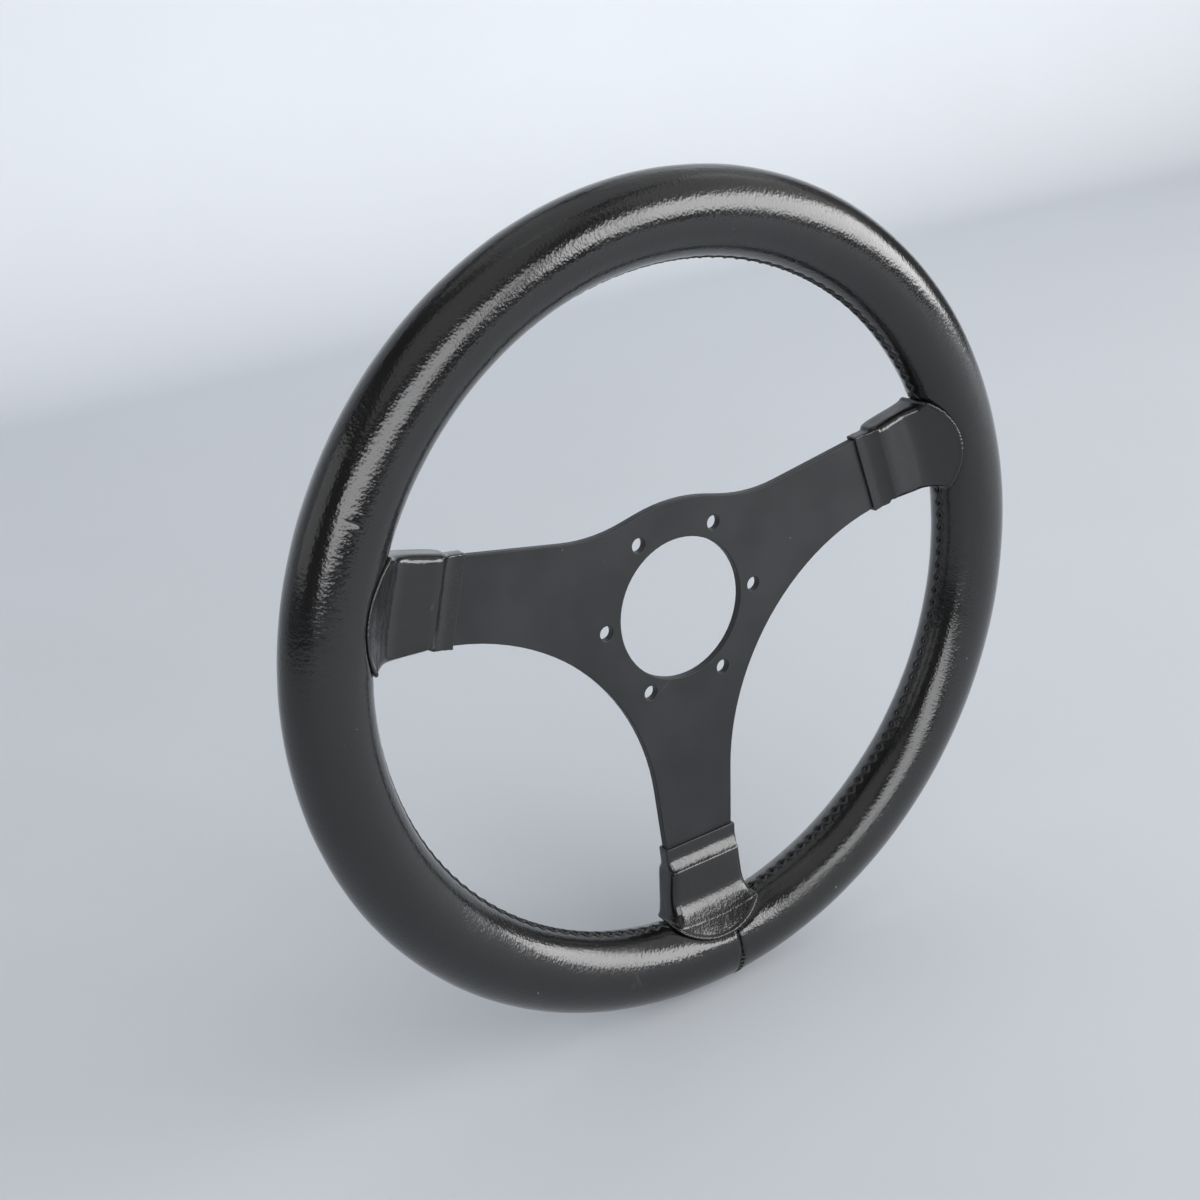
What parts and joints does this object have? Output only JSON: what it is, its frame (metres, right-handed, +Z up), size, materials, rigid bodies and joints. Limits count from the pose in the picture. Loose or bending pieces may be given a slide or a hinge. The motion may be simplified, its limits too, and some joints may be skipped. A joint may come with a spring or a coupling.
{
  "type": "car steering wheel",
  "caption": "Spoked car steering wheel with a padded leather rim laced along its inner line, leather boots over the spoke ends, and a flat hub plate with a round hole and a bolt circle.",
  "frame": {"origin": "hub centre, on the back face of the spoke plate that bolts to the hub boss", "axes": "+Y along the steering axis away from the driver, +Z up with the wheel straight ahead, +X to the driver's right"},
  "size_m": [0.35, 0.03, 0.3505],
  "materials": {
    "leather": "smooth black leather with a fine grain, worn to a gloss",
    "plate": "black anodised, satin",
    "hoop": "plain rolled steel",
    "rivet": "plain steel",
    "foam": "moulded foam, matt",
    "thread": "waxed black thread"
  },
  "bodies": {
    "root": {"bottom_left_rivet": "rivet", "bottom_right_rivet": "rivet", "bottom_root_pad": "foam", "bottom_spoke_boot": "leather", "joint_stitching": "thread", "left_lower_rivet": "rivet", "left_root_pad": "foam", "left_spoke_boot": "leather", "left_upper_rivet": "rivet", "lower_left_lacing": "thread", "lower_right_lacing": "thread", "right_lower_rivet": "rivet", "right_root_pad": "foam", "right_spoke_boot": "leather", "right_upper_rivet": "rivet", "rim_hoop": "hoop", "rim_leather": "leather", "rim_padding": "foam", "spoke_plate": "plate", "upper_lacing": "thread"}
  },
  "joints": []
}
